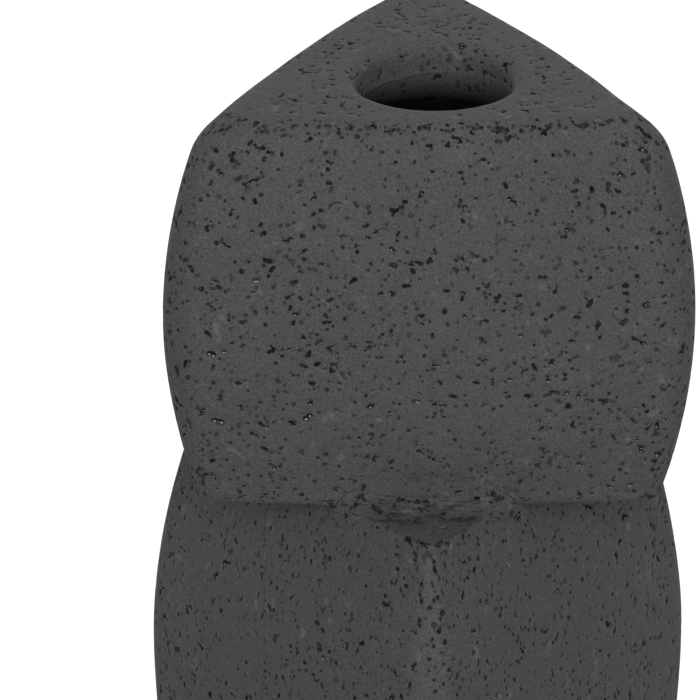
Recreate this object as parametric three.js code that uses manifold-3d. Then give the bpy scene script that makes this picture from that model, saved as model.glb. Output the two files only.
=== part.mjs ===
// A stoneware totem vase: three hollow blocks of clay with a rounded triangular plan and barrel-shaped
// walls, stacked with each block turned a sixth of a turn from the one under it. Each block is a pressed
// shell that is open below and closed by a floor slab let into its rim. A spigot ring on top of each
// lower block locates the one above it, and a coil of clay is worked into the corner round each waist.
// The round mouth has a rolled lip and a collar luted under it.
// Millimetres, +Z up, origin on the ground under the middle of the vase.
import * as THREE from 'three';
import { mergeVertices } from 'three/addons/utils/BufferGeometryUtils.js';
import Module from 'manifold-3d';

const wasm = await Module();
wasm.setup();

// The blocks' outer form.
const upperWidth = 140;          // across the two front corners, at mid-height
const middleWidth = 141;
const lowerWidth = 142;
const upperHeight = 108.5;
const middleHeight = 136;
const lowerHeight = 136;
const upperBulge = 8.7;          // how far each corner pulls in from mid-height to the top and bottom edges
const middleBulge = 11;
const lowerBulge = 11;
const cornerRadius = 11.5;       // plan radius of the corners at mid-height
const edgeCornerRadius = 3;      // plan radius of the corners at the top and bottom edges
const faceCrown = 2.8;           // how far the middle of a face stands out from a straight side
const edgeRoll = 4.2;            // radius of the top and bottom edges

// The clay.
const wall = 7;
const topThickness = 8.5;
const floorThickness = 8;
const innerCornerRadius = 5;
const rebateWidth = 2;           // the step in a block's rim that its floor is let into
const fitGap = 0.3;              // between pieces that meet

// The mouth and the collar under it.
const mouthRadius = 20.8;
const lipRoll = 4;
const mouthOffset = new THREE.Vector2(1.6, -3.7);
const collarWall = 6;
const collarHeight = 14;
const collarSeat = 2;            // how far the collar is let into the underside of the top

// The waists.
const spigotWall = 6;
const spigotHeight = 6;
const upperFloorRim = 5.8;       // clay left in a floor round its hole, where it is narrowest
const middleFloorRim = 4.8;
const coilRadius = 6.5;

// How the blocks are set: each is turned half a turn from the next, a degree or so out as hands leave it.
const upperTurn = THREE.MathUtils.degToRad(0);
const middleTurn = THREE.MathUtils.degToRad(180.8);
const lowerTurn = THREE.MathUtils.degToRad(-0.6);
const upperShift = new THREE.Vector2(0.9, 0.3);
const middleShift = new THREE.Vector2(-0.4, 0);
const lowerShift = new THREE.Vector2(0, 0);

// How finely the surfaces are divided.
const sideSteps = 5;
const cornerSteps = 5;
const wallSteps = 7;
const rollSteps = 3;
const ringSteps = 3 * (sideSteps + cornerSteps);
const coilSectionSteps = 10;
const coilStepsPerSide = 5;
const weldDistance = 1e-4;

const clay = { color: 0x4d4d4d, roughness: 0.9, metalness: 0 };
const root3 = Math.sqrt(3);

function pointOnArc(centre, radius, angle) {
  return new THREE.Vector2(Math.cos(angle), Math.sin(angle)).multiplyScalar(radius).add(centre);
}

// A rounded triangle with a face towards -Y. Its straight sides would be `face` from the middle, and
// each is crowned outwards. Every outline has the same number of points, in the same order.
function triangleOutline(face, corner) {
  const half = (face - corner) * root3;
  const sweep = Math.atan2(faceCrown, half) * 2;
  const sideRadius = (half * half + faceCrown * faceCrown) / (2 * faceCrown) + corner;
  const points = [];
  for (let k = 0; k < 3; k += 1) {
    const facing = -Math.PI / 2 + (k * 2 * Math.PI) / 3;
    const normal = new THREE.Vector2(Math.cos(facing), Math.sin(facing));
    const along = new THREE.Vector2(-normal.y, normal.x);
    const sideCentre = normal.clone().multiplyScalar(face + faceCrown - sideRadius);
    const cornerCentre = normal.clone().multiplyScalar(face - corner).addScaledVector(along, half);
    for (let i = 0; i < sideSteps; i += 1) {
      const angle = facing + sweep * ((2 * i) / sideSteps - 1);
      points.push(pointOnArc(sideCentre, sideRadius, angle));
    }
    const cornerSweep = (2 * Math.PI) / 3 - 2 * sweep;
    for (let i = 0; i < cornerSteps; i += 1) {
      const angle = facing + sweep + (cornerSweep * i) / cornerSteps;
      points.push(pointOnArc(cornerCentre, corner, angle));
    }
  }
  return points;
}

// A circle with as many points as a triangle's outline, evenly spread, whose first one lies where a
// triangle's first side begins.
function roundOutline(radius, centre = new THREE.Vector2()) {
  const start = -Math.PI / 2 - (Math.PI / ringSteps) * sideSteps;
  const stepAngle = (2 * Math.PI) / ringSteps;
  return Array.from({ length: ringSteps }, (_, i) => pointOnArc(centre, radius, start + i * stepAngle));
}

// The closed body that a ring of outlines sweeps out. A lathe gives the grid, its profile closed on
// itself, and each turned ring is then pushed to its own outline.
function ringBody(rings) {
  const profile = [...rings, rings[0]].map((ring) => new THREE.Vector2(1, ring.z));
  const geometry = new THREE.LatheGeometry(profile, ringSteps);
  const position = geometry.getAttribute('position');
  for (let i = 0; i <= ringSteps; i += 1) {
    for (let j = 0; j < profile.length; j += 1) {
      const ring = rings[j % rings.length];
      const point = ring.outline[i % ringSteps];
      position.setXYZ(i * profile.length + j, point.x, point.y, ring.z);
    }
  }
  return welded(geometry);
}

// The same for a body without a hole, whose first and last rings shrink to a point.
function cappedBody(rings) {
  const first = { outline: roundOutline(0), z: rings[0].z };
  const last = { outline: roundOutline(0), z: rings[rings.length - 1].z };
  const all = [first, ...rings, last];
  const geometry = new THREE.LatheGeometry(all.map((ring) => new THREE.Vector2(1, ring.z)), ringSteps);
  const position = geometry.getAttribute('position');
  for (let i = 0; i <= ringSteps; i += 1) {
    all.forEach((ring, j) => {
      const point = ring.outline[i % ringSteps];
      position.setXYZ(i * all.length + j, point.x, point.y, ring.z);
    });
  }
  return welded(geometry);
}

// Leaves only the positions, with shared points merged and flat triangles dropped.
function welded(geometry) {
  geometry.deleteAttribute('normal');
  geometry.deleteAttribute('uv');
  const merged = mergeVertices(geometry, weldDistance);
  const index = merged.getIndex().array;
  const kept = [];
  for (let i = 0; i < index.length; i += 3) {
    const [a, b, c] = [index[i], index[i + 1], index[i + 2]];
    if (a !== b && b !== c && c !== a) {
      kept.push(a, b, c);
    }
  }
  merged.setIndex(kept);
  return merged;
}

function toSolid(geometry) {
  const mesh = new wasm.Mesh({
    numProp: 3,
    vertProperties: new Float32Array(geometry.getAttribute('position').array),
    triVerts: new Uint32Array(geometry.getIndex().array),
  });
  return new wasm.Manifold(mesh);
}

function toGeometry(solid) {
  const mesh = solid.getMesh();
  const geometry = new THREE.BufferGeometry();
  geometry.setAttribute('position', new THREE.BufferAttribute(mesh.vertProperties, 3));
  geometry.setIndex(new THREE.BufferAttribute(mesh.triVerts, 1));
  return geometry;
}

// How far a block's corners have pulled in at height z, and its face distance and corner radius there.
function sectionAt(block, z) {
  const middle = block.height / 2;
  const share = Math.min(1, Math.abs(z - middle) / (middle - edgeRoll)) ** 2;
  const corner = THREE.MathUtils.lerp(cornerRadius, edgeCornerRadius, share);
  return { face: faceFor(block.width / 2 - block.bulge * share, corner), corner };
}

function faceFor(halfWidth, corner) {
  return (halfWidth - corner) / root3 + corner;
}

// The outside of a block from its bottom edge to its top edge, both rolled. `grow` makes it larger all
// round.
function outerRings(block, grow = 0) {
  const rings = [];
  const reach = block.width / 2 - block.bulge;
  for (let i = 0; i < rollSteps; i += 1) {
    const angle = (Math.PI / 2) * (1 - i / rollSteps);
    const face = faceFor(reach - edgeRoll * (1 - Math.cos(angle)), edgeCornerRadius);
    const z = edgeRoll * (1 - Math.sin(angle)) - grow;
    rings.push({ outline: triangleOutline(face + grow, edgeCornerRadius + grow), z });
  }
  for (let i = 0; i <= wallSteps; i += 1) {
    const z = edgeRoll + ((block.height - 2 * edgeRoll) * i) / wallSteps;
    const { face, corner } = sectionAt(block, z);
    const growUp = grow * ((2 * i) / wallSteps - 1);
    rings.push({ outline: triangleOutline(face + grow, corner + grow), z: z + growUp });
  }
  for (let i = 1; i <= rollSteps; i += 1) {
    const angle = ((Math.PI / 2) * i) / rollSteps;
    const face = faceFor(reach - edgeRoll * (1 - Math.cos(angle)), edgeCornerRadius);
    const z = block.height - edgeRoll * (1 - Math.sin(angle)) + grow;
    rings.push({ outline: triangleOutline(face + grow, edgeCornerRadius + grow), z });
  }
  return rings;
}

// How far the outline of a block's floor seat is from the middle.
function seatFace(block) {
  return sectionAt(block, 0).face - wall + rebateWidth;
}

// The inside of a block from under its top down to its rim: the cavity, then the seat for the floor.
function innerRings(block) {
  const rings = [];
  const top = block.height - topThickness;
  const bottom = floorThickness + fitGap;
  for (let i = 0; i <= wallSteps; i += 1) {
    const z = top + ((bottom - top) * i) / wallSteps;
    const { face } = sectionAt(block, z);
    rings.push({ outline: triangleOutline(face - wall, innerCornerRadius), z });
  }
  const seat = triangleOutline(seatFace(block), innerCornerRadius);
  rings.push({ outline: seat, z: bottom });
  rings.push({ outline: seat, z: 0 });
  return rings;
}

// A round outline about the mouth, flattened wherever a wall of the cavity comes within `gap` of it.
function collarOutline(block, radius, gap) {
  const reach = sectionAt(block, block.height - topThickness).face + faceCrown / 2 - wall - gap;
  return roundOutline(radius, mouthOffset).map((point) => {
    for (let k = 0; k < 3; k += 1) {
      const facing = -Math.PI / 2 + (k * 2 * Math.PI) / 3;
      const normal = new THREE.Vector2(Math.cos(facing), Math.sin(facing));
      point.addScaledVector(normal, -Math.max(0, point.dot(normal) - reach));
    }
    return point;
  });
}

// The way through the top of the upper block: a rolled lip, the bore, and the collar's seat.
function mouthRings(block) {
  const rings = [];
  for (let i = 0; i <= rollSteps; i += 1) {
    const angle = ((Math.PI / 2) * i) / rollSteps;
    const radius = mouthRadius + lipRoll * (1 - Math.sin(angle));
    const z = block.height - lipRoll * (1 - Math.cos(angle));
    rings.push({ outline: roundOutline(radius, mouthOffset), z });
  }
  const seatTop = block.height - topThickness + collarSeat;
  const seat = collarOutline(block, mouthRadius + collarWall + fitGap, 0);
  rings.push({ outline: roundOutline(mouthRadius, mouthOffset), z: seatTop });
  rings.push({ outline: seat, z: seatTop });
  rings.push({ outline: seat, z: block.height - topThickness });
  return rings;
}

// The hole in the floor of a block that stands on another is as wide as leaves the floor its rim.
function floorHole(block) {
  return seatFace(block) - fitGap + faceCrown - block.floorRim;
}

// The radius of the spigot that a block carries, which fits the hole in the floor above.
function spigotRadius(above) {
  return floorHole(above) - fitGap;
}

// The way through the top of a block with another on it, as wide as the inside of its spigot.
function passageRings(block, above) {
  const passage = roundOutline(spigotRadius(above) - spigotWall);
  return [
    { outline: passage, z: block.height },
    { outline: passage, z: block.height - topThickness },
  ];
}

// The spigot itself: a ring of clay luted on round the passage.
function spigot(block, above) {
  const outer = roundOutline(spigotRadius(above));
  const inner = roundOutline(spigotRadius(above) - spigotWall);
  const top = block.height + spigotHeight;
  return ringBody([
    { outline: outer, z: block.height + fitGap },
    { outline: outer, z: top },
    { outline: inner, z: top },
    { outline: inner, z: block.height + fitGap },
  ]);
}

function blockShell(block, topRings) {
  return ringBody([...outerRings(block), ...topRings, ...innerRings(block)]);
}

function throatCollar(block) {
  const top = block.height - topThickness + collarSeat - fitGap;
  const outer = collarOutline(block, mouthRadius + collarWall, fitGap);
  const inner = roundOutline(mouthRadius, mouthOffset);
  return ringBody([
    { outline: outer, z: top - collarHeight },
    { outline: outer, z: top },
    { outline: inner, z: top },
    { outline: inner, z: top - collarHeight },
  ]);
}

// The floor of a block that stands on another: its hole goes round the spigot of the block below.
function piercedFloor(block, below) {
  const outer = triangleOutline(seatFace(block) - fitGap, innerCornerRadius);
  const spigotCentre = below.shift.clone().sub(block.shift).rotateAround(new THREE.Vector2(), -block.turn);
  const inner = roundOutline(floorHole(block), spigotCentre);
  return ringBody([
    { outline: outer, z: 0 },
    { outline: outer, z: floorThickness },
    { outline: inner, z: floorThickness },
    { outline: inner, z: 0 },
  ]);
}

function closedFloor(block) {
  const outer = triangleOutline(seatFace(block) - fitGap, innerCornerRadius);
  return cappedBody([{ outline: outer, z: 0 }, { outline: outer, z: floorThickness }]);
}

function placed(geometry, block) {
  return geometry.clone().rotateZ(block.turn).translate(block.shift.x, block.shift.y, block.base);
}

// How far a block's face is from `centre` in the direction `angle`, level with its rolled edge.
function faceReach(block, centre, angle) {
  const face = faceFor(block.width / 2 - block.bulge - edgeRoll / 2, edgeCornerRadius) + faceCrown / 2;
  const third = (2 * Math.PI) / 3;
  const fromCorner = THREE.MathUtils.euclideanModulo(angle - block.turn + Math.PI / 2 + third / 2, third);
  const fromFace = fromCorner - third / 2;
  const towards = new THREE.Vector2(Math.cos(angle - fromFace), Math.sin(angle - fromFace));
  return (face + block.shift.clone().sub(centre).dot(towards)) / Math.cos(fromFace);
}

// The clay worked into the corner round a waist: a ring that follows whichever block's face is nearer,
// cut back by the two blocks. A torus gives the grid, and its round path is pushed out to the faces.
function waistCoil(above, below) {
  const steps = 6 * coilStepsPerSide;
  const geometry = new THREE.TorusGeometry(1, coilRadius, coilSectionSteps, steps);
  const position = geometry.getAttribute('position');
  const centre = above.shift.clone().add(below.shift).multiplyScalar(0.5);
  for (let j = 0; j <= coilSectionSteps; j += 1) {
    const section = (j / coilSectionSteps) * 2 * Math.PI;
    for (let i = 0; i <= steps; i += 1) {
      const angle = (i / steps) * 2 * Math.PI - Math.PI / 2 + above.turn;
      const path = Math.min(faceReach(above, centre, angle), faceReach(below, centre, angle));
      const radius = path + coilRadius * Math.cos(section);
      const z = coilRadius * Math.sin(section);
      position.setXYZ(j * (steps + 1) + i, radius * Math.cos(angle), radius * Math.sin(angle), z);
    }
  }
  const ring = toSolid(welded(geometry.translate(centre.x, centre.y, above.base - fitGap / 2)));
  const cutAbove = toSolid(placed(cappedBody(outerRings(above, fitGap)), above));
  const cutBelow = toSolid(placed(cappedBody(outerRings(below, fitGap)), below));
  return toGeometry(ring.subtract(cutAbove).subtract(cutBelow));
}

// The blocks from the ground up, each standing on the one before.
const lowerBlock = {
  width: lowerWidth, height: lowerHeight, bulge: lowerBulge, turn: lowerTurn, shift: lowerShift, base: 0,
};
const middleBlock = {
  width: middleWidth, height: middleHeight, bulge: middleBulge, turn: middleTurn, shift: middleShift,
  base: lowerBlock.base + lowerHeight + fitGap, floorRim: middleFloorRim,
};
const upperBlock = {
  width: upperWidth, height: upperHeight, bulge: upperBulge, turn: upperTurn, shift: upperShift,
  base: middleBlock.base + middleHeight + fitGap, floorRim: upperFloorRim,
};

const pieces = {
  upper_block: placed(blockShell(upperBlock, mouthRings(upperBlock)), upperBlock),
  throat_collar: placed(throatCollar(upperBlock), upperBlock),
  upper_floor: placed(piercedFloor(upperBlock, middleBlock), upperBlock),
  upper_waist_coil: waistCoil(upperBlock, middleBlock),
  upper_spigot: placed(spigot(middleBlock, upperBlock), middleBlock),
  middle_block: placed(blockShell(middleBlock, passageRings(middleBlock, upperBlock)), middleBlock),
  middle_floor: placed(piercedFloor(middleBlock, lowerBlock), middleBlock),
  lower_waist_coil: waistCoil(middleBlock, lowerBlock),
  lower_spigot: placed(spigot(lowerBlock, middleBlock), lowerBlock),
  lower_block: placed(blockShell(lowerBlock, passageRings(lowerBlock, middleBlock)), lowerBlock),
  base_slab: placed(closedFloor(lowerBlock), lowerBlock),
};

const vase = new THREE.Group();
for (const [name, geometry] of Object.entries(pieces)) {
  const mesh = new THREE.Mesh(geometry, new THREE.MeshStandardMaterial(clay));
  mesh.name = name;
  vase.add(mesh);
}

// The origin goes under the middle of the whole outline.
const outline = new THREE.Box3().setFromObject(vase);
const middle = outline.getCenter(new THREE.Vector3());
vase.position.set(-middle.x, -middle.y, -outline.min.z);

export default vase;
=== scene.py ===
"""The finished look of a stoneware totem vase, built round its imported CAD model.

Every piece of clay is a mesh of its own. The skins that show are triangulated round real pits, each a
small bowl of vertices let into the surface, and the mesh is coarser where the clay is plain.
"""
import math

import bpy
import numpy as np
from mathutils import Matrix, Vector, kdtree
from mathutils.geometry import delaunay_2d_cdt


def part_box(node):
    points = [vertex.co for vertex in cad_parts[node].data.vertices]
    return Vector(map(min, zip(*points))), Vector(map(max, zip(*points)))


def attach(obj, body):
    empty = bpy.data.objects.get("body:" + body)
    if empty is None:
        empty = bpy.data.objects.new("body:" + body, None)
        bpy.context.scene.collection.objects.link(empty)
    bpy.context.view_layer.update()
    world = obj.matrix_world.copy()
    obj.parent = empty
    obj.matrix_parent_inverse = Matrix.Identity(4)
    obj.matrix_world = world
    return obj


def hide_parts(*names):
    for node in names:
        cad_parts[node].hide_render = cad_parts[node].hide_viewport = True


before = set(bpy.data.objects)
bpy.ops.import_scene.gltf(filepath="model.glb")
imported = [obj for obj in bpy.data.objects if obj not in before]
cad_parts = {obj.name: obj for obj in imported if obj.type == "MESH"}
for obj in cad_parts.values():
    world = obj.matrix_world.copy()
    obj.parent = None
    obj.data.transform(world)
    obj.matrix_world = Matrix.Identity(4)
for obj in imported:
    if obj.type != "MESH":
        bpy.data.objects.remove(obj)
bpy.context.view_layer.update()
MM = 0.001
ROOT3 = math.sqrt(3)
THIRD = 2 * math.pi / 3
QUARTER = math.pi / 2
rng = np.random.default_rng(7)

# ---------------------------------------------------------------- the clay's sizes, in metres
CORNER = 11.5 * MM            # plan radius of a block's corners at mid-height
EDGE_CORNER = 3 * MM          # and at its top and bottom edges
CROWN = 2.8 * MM              # how far the middle of a face stands out from a straight side
ROLL = 4.2 * MM               # radius of the top and bottom edges
WALL = 7 * MM
TOP = 8.5 * MM
FLOOR = 8 * MM
INNER_CORNER = 5 * MM
REBATE = 2 * MM
GAP = 0.3 * MM
LIP = 4 * MM
MOUTH = 20.8 * MM
COLLAR_WALL = 6 * MM
COLLAR_SEAT = 2 * MM
SPIGOT_WALL = 6 * MM
SIDE_SHARE = 0.84             # of a third of an outline that is side and not corner
AROUND = 192                  # vertices round a block's border rings
ROUND = 108                   # vertices round the mouth
CAVITY_RINGS = 9


def sizes(node):
    low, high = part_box(node)
    return np.array(low), np.array(high)


# ---------------------------------------------------------------- forms
def outline(u, face, corner):
    """Points of a rounded triangle with a face towards -Y.

    u runs from 0 to 3, one for each side and the corner after it."""
    u, face, corner = np.broadcast_arrays(np.asarray(u, float) % 3, face, corner)
    side = np.floor(u)
    t = u - side
    half = (face - corner) * ROOT3
    sweep = 2 * np.arctan2(CROWN, half)
    side_radius = (half**2 + CROWN**2) / (2 * CROWN) + corner
    facing = side * THIRD - QUARTER
    on_side = t < SIDE_SHARE
    round_the_corner = (THIRD - 2 * sweep) * (t - SIDE_SHARE) / (1 - SIDE_SHARE)
    angle = facing + np.where(on_side, sweep * (2 * t / SIDE_SHARE - 1), sweep + round_the_corner)
    out = np.where(on_side, face + CROWN - side_radius, face - corner)
    along = np.where(on_side, 0.0, half)
    radius = np.where(on_side, side_radius, corner)
    x = out * np.cos(facing) - along * np.sin(facing) + radius * np.cos(angle)
    y = out * np.sin(facing) + along * np.cos(facing) + radius * np.sin(angle)
    return x, y


def outline_distance(x, y, face, corner):
    """Signed distance in plan from a rounded triangle, negative inside."""
    turn = (np.arctan2(y, x) + QUARTER + THIRD / 2) % THIRD - THIRD / 2
    reach = np.hypot(x, y)
    out, along = reach * np.cos(turn), np.abs(reach * np.sin(turn))
    half = (face - corner) * ROOT3
    side_radius = (half**2 + CROWN**2) / (2 * CROWN) + corner
    from_centre = out - (face + CROWN - side_radius)
    on_side = np.arctan2(along, from_centre) < 2 * np.arctan2(CROWN, half)
    side = np.hypot(from_centre, along) - side_radius
    return np.where(on_side, side, np.hypot(out - (face - corner), along - half) - corner)


class Block:
    """A block's outer form: where it stands, and its outline at every height."""

    def __init__(self, width, height, bulge, turn, base, centre, seam):
        self.width, self.height, self.bulge = width, height, bulge
        self.turn, self.base, self.centre, self.seam = turn, base, centre, seam
        self.top_roll, self.top_inset, self.top_bulge = ROLL, ROLL / ROOT3, bulge
        self.top_corner, self.rim_corner = EDGE_CORNER, EDGE_CORNER
        self.measure()

    def measure(self):
        self.straight = self.height - ROLL - self.top_roll
        self.length = self.straight + (ROLL + self.top_roll) * QUARTER

    def soften_top(self):
        """The uppermost block is rounder over its top edge and at its top corners than the rest."""
        self.top_roll, self.top_inset, self.top_bulge = 10 * MM, 9.7 * MM, 9.2 * MM
        self.top_corner, self.rim_corner = 7.5 * MM, 2.4 * MM
        self.measure()

    def top_edge(self, head):
        """The face and corner where the wall, still leaning as it did, has rolled in by the angle head."""
        start = self.height - self.top_roll
        face, corner = self.section(start)
        lower_face, lower_corner = self.section(start - MM)
        lean, change = (face - lower_face) / MM, (corner - lower_corner) / MM
        rise, share = self.top_roll * np.sin(head), 1 - np.cos(head)
        face_in = self.top_inset + lean * self.top_roll
        corner_in = self.rim_corner - corner - change * self.top_roll
        return face + lean * rise - face_in * share, corner + change * rise + corner_in * share

    def section(self, z):
        half = self.height / 2
        share = np.minimum(1, np.abs(z - half) / (half - ROLL)) ** 2
        over = z > half
        corner = CORNER + (np.where(over, self.top_corner, EDGE_CORNER) - CORNER) * share
        bulge = np.where(over, self.top_bulge, self.bulge)
        return (self.width / 2 - bulge * share - corner) / ROOT3 + corner, corner

    def edge_face(self, inset):
        return (self.width / 2 - self.bulge - inset - EDGE_CORNER) / ROOT3 + EDGE_CORNER

    def point(self, u, face, corner, z):
        x, y = outline(u + self.seam, face, corner)
        return self.place(x, y, z)

    def place(self, x, y, z):
        c, s = math.cos(self.turn), math.sin(self.turn)
        x, y, z = np.broadcast_arrays(x, y, z)
        return np.stack([c * x - s * y + self.centre[0], s * x + c * y + self.centre[1], z + self.base], -1)

    def plan(self, p):
        """Points of the vase's frame, in the block's own."""
        c, s = math.cos(self.turn), math.sin(self.turn)
        x, y = p[..., 0] - self.centre[0], p[..., 1] - self.centre[1]
        return c * x + s * y, c * y - s * x, p[..., 2] - self.base

    def wall(self, u, v):
        """The outside, v metres up it from where the bottom edge's roll meets the ground."""
        up = v - ROLL * QUARTER
        over = up - self.straight
        foot = np.clip(-up / ROLL, 0, QUARTER)
        head = np.clip(over / self.top_roll, 0, QUARTER)
        z = np.where(over > 0, self.height - self.top_roll * (1 - np.sin(head)), ROLL + up)
        z = np.where(up < 0, ROLL * (1 - np.sin(foot)), z)
        face, corner = self.section(z)
        top_face, top_corner = self.top_edge(head)
        past = np.clip(over - self.top_roll * QUARTER, 0, None) / ROOT3
        face = np.where(over > 0, top_face - past, face)
        corner = np.where(over > 0, top_corner, corner)
        face = np.where(up < 0, self.edge_face(ROLL * (1 - np.cos(foot))), face)
        corner = np.where(up < 0, EDGE_CORNER, corner)
        return self.point(u, face, corner, z)

    def distance(self, p):
        """Signed distance from the block's rolled-edge form."""
        x, y, z = self.plan(p)
        face, corner = self.section(np.clip(z, 0, self.height))
        across = outline_distance(x, y, face, corner) + ROLL
        up = np.abs(z - self.height / 2) - self.height / 2 + ROLL
        outside = np.hypot(np.maximum(across, 0), np.maximum(up, 0))
        return np.minimum(np.maximum(across, up), 0) + outside - ROLL


# ---------------------------------------------------------------- the hand in the surface
WAVE_COUNT = 26
WAVE_LENGTHS = (14, 75)       # the shortest and the longest, in mm
SWELL = 0.16 * MM             # the height that the swells have on the whole
WAVES = rng.normal(size=(WAVE_COUNT, 3))
WAVES *= (2 * math.pi / rng.uniform(*WAVE_LENGTHS, WAVE_COUNT) / MM / np.linalg.norm(WAVES, axis=1))[:, None]
WAVE_SHIFTS = rng.uniform(0, 2 * math.pi, WAVE_COUNT)
WAVE_HEIGHTS = 1 / np.linalg.norm(WAVES, axis=1)


def hand(p):
    """How far the clay stands proud of its true form at points p: the low swells that pressing leaves."""
    swell = np.sin(p @ WAVES.T + WAVE_SHIFTS) @ WAVE_HEIGHTS
    return SWELL * swell / np.sqrt((WAVE_HEIGHTS**2).sum() / 2)


# ---------------------------------------------------------------- pits
PER_PIT = 7.9 * MM * MM       # of the upper block's surface
PER_LOWER_PIT = 1.15 * PER_PIT
PER_LIP_PIT = 8 * MM * MM
PER_THROAT_PIT = 12 * MM * MM
PER_COIL_PIT = 9 * MM * MM
RADIUS, DEPTH, DARK, GLINT, WARM = range(2, 7)  # the columns of a pit's row, after its place
MIDDLE_RADIUS, RADIUS_SPREAD = 0.5, 0.2         # in mm, and of its logarithm
RADIUS_LIMITS = (0.3, 0.9)    # in mm
LEAST_LINK = 0.24 * MM        # the radius that a chain's links don't go below
SMALL_SHARE, SMALL_SIZE = 0.3, 0.56             # the first of the pits are small
DEEP_START = 0.85             # and the last of them, from this share on, are deep, with near-black painted shade
PAIRED, CHAINED = 0.22, 0.09  # the shares of pits with one link more, and with one to three more
DEEP_PAIRED, DEEP_CHAINED = 0.6, 0.3
BOWL, DEEP_BOWL = (0.3, 0.6), (0.9, 1.35)       # depths, of the radius
# How dark a pit's painted shade is, for most pits and for the deep ones
DARKNESS, DARKNESS_SPREAD, DARKNESS_LIMITS = 0.64, 0.15, (0.25, 0.9)
DEEP_DARKNESS = (0.85, 1.0)
GLINTING, DEEP_GLINTING = 0.04, 0.45            # the shares of pits with a painted highlight in them
RUSTY = 0.014
HEADING_SPREAD, BEND_SPREAD = 0.7, 0.6          # of a chain's start and its turns, in radians
STRIDE, TAPER = (1.0, 1.7), (0.6, 1.05)         # from link to link, of the last one's radius


def chance(draw, share):
    return int(draw.random() < share)


def scatter(size, per_pit, seed, keep_off=1.3 * MM):
    """Pits over a chart of this size. Some are single, some run into each other as short ragged chains.

    Gives rows of x, y, radius, depth, darkness, glint and warmth."""
    draw = np.random.default_rng(seed)
    rows = []
    for _ in range(int(size[0] * size[1] / per_pit)):
        x, y = draw.uniform(0, size[0]), draw.uniform(0, size[1])
        kind = draw.random()
        radius = float(np.clip(draw.lognormal(math.log(MIDDLE_RADIUS), RADIUS_SPREAD), *RADIUS_LIMITS)) * MM
        if kind < SMALL_SHARE:
            radius *= SMALL_SIZE
        deep = kind > DEEP_START
        links = 1 + chance(draw, PAIRED) + chance(draw, CHAINED) * int(draw.integers(1, 4))
        if deep:
            links += chance(draw, DEEP_PAIRED) + chance(draw, DEEP_CHAINED)
        heading = draw.normal(0, HEADING_SPREAD) + math.pi * chance(draw, 0.5)
        if deep:
            dark = draw.uniform(*DEEP_DARKNESS)
        else:
            dark = float(np.clip(draw.normal(DARKNESS, DARKNESS_SPREAD), *DARKNESS_LIMITS))
        glint = chance(draw, DEEP_GLINTING if deep else GLINTING)
        warm = chance(draw, RUSTY)
        for _link in range(links):
            depth = radius * draw.uniform(*(DEEP_BOWL if deep else BOWL))
            rows.append((x, y, radius, depth, dark, glint, warm))
            heading += draw.normal(0, BEND_SPREAD)
            stride = radius * draw.uniform(*STRIDE)
            x += stride * math.cos(heading)
            y += stride * math.sin(heading)
            radius = max(radius * draw.uniform(*TAPER), LEAST_LINK)
    pits = np.array(rows)
    edge = (keep_off + pits[:, RADIUS])[:, None]
    return pits[((pits[:, :2] > edge) & (pits[:, :2] < np.array(size) - edge)).all(1)]


def smooth(low, high, x):
    t = np.clip((x - low) / (high - low), 0, 1)
    return t * t * (3 - 2 * t)


BRIM, BOTTOM = 1.12, 0.78     # of a pit's radius: where it starts, and where it is nearly at its depth
BOTTOM_DEPTH = 0.72           # of the depth in its middle
CENTRE_SHADE = 0.6            # a pit's painted shade is a little lighter in the middle
LEAST_SIDES = 5               # of the narrowest pits, which have no ring at the bottom
SIX_SIDED, EIGHT_SIDED = 0.42 * MM, 0.7 * MM    # the radii from which pits have more sides
RAGGED = 0.1                  # how uneven a pit's rings are
EASE, SHADE_EASE = 0.7, 0.95  # of the radius: where a pit and its painted shade start to fade over other points
SPILT = 0.9                   # of a pit's painted shade, on other points in it
CROWDED = 0.66                # of the radius: nearer in than this, no other point is wanted
SHARP = 1.25                  # radians: an edge that turns more than this is shaded as a hard one
SHY = 0.12 * MM               # how near a chart's border a loose point may come
NUDGE = 0.02 * MM             # the step that a chart's slopes are measured over
SUNK, SHADE, SPARK, RUST, OWNER = range(5)      # the columns of a point's marks


def surface_normal(surface, at):
    x = surface(at + [NUDGE, 0]) - surface(at - [NUDGE, 0])
    y = surface(at + [0, NUDGE]) - surface(at - [0, NUDGE])
    n = np.cross(x, y)
    return n / np.linalg.norm(n, axis=1)[:, None]


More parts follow.
